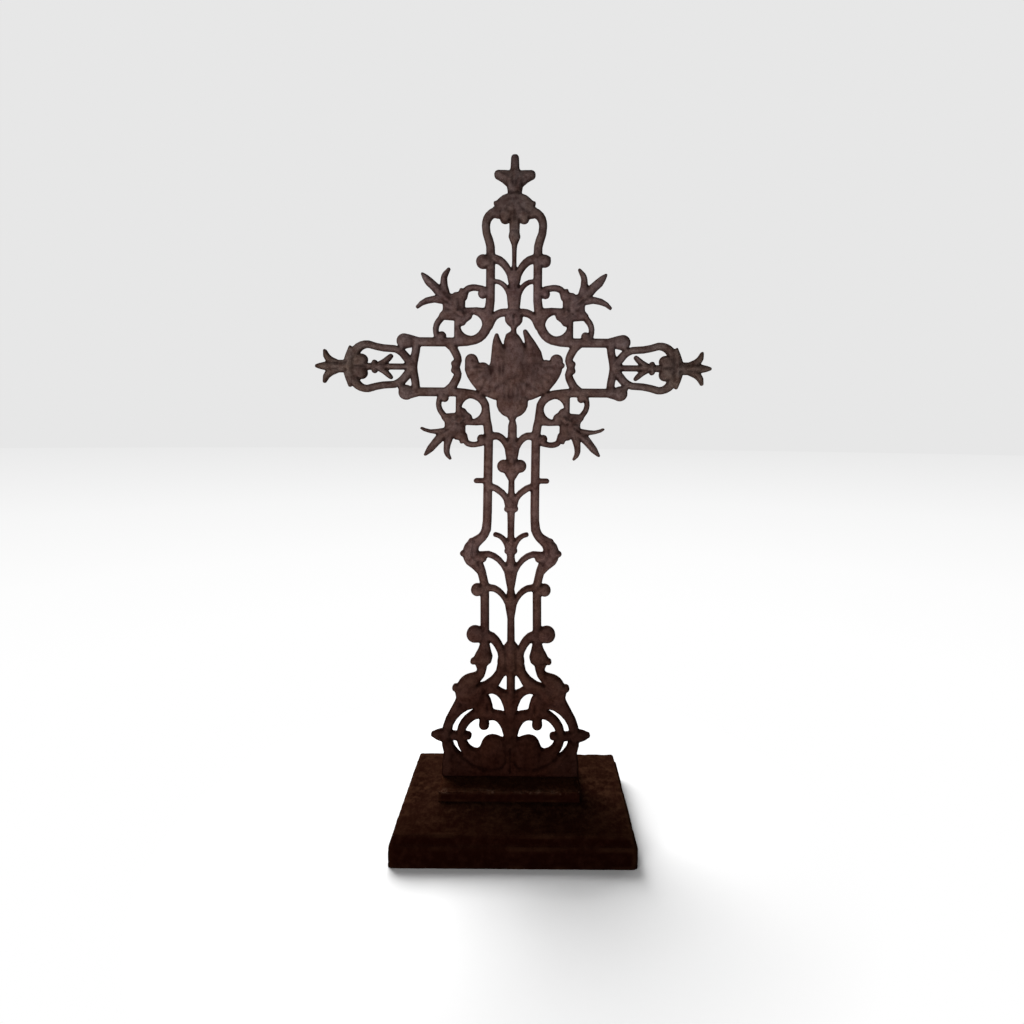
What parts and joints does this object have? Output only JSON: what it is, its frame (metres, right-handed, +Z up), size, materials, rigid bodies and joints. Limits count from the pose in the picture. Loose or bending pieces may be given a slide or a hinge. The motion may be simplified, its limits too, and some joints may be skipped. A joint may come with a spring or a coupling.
{
  "type": "cast iron grave cross",
  "caption": "Openwork cast iron grave cross with a spread dove at the crossing, leaf sprays, budded arm ends and a pierced foot, on a low step and plinth.",
  "frame": {"origin": "on the ground, in the middle of the underside, straight below the cross's middle line", "axes": "+Z up, -Y towards the front of the cross, X along the arms"},
  "size_m": [0.634, 0.241, 1.054],
  "materials": {
    "cross_iron": "weathered, brown rust, matt",
    "step_iron": "weathered, dark brown, flaking",
    "plinth_iron": "weathered, dark brown, mottled"
  },
  "bodies": {
    "root": {"cross": "cross_iron", "foot_block": "step_iron", "plinth": "plinth_iron"}
  },
  "joints": []
}
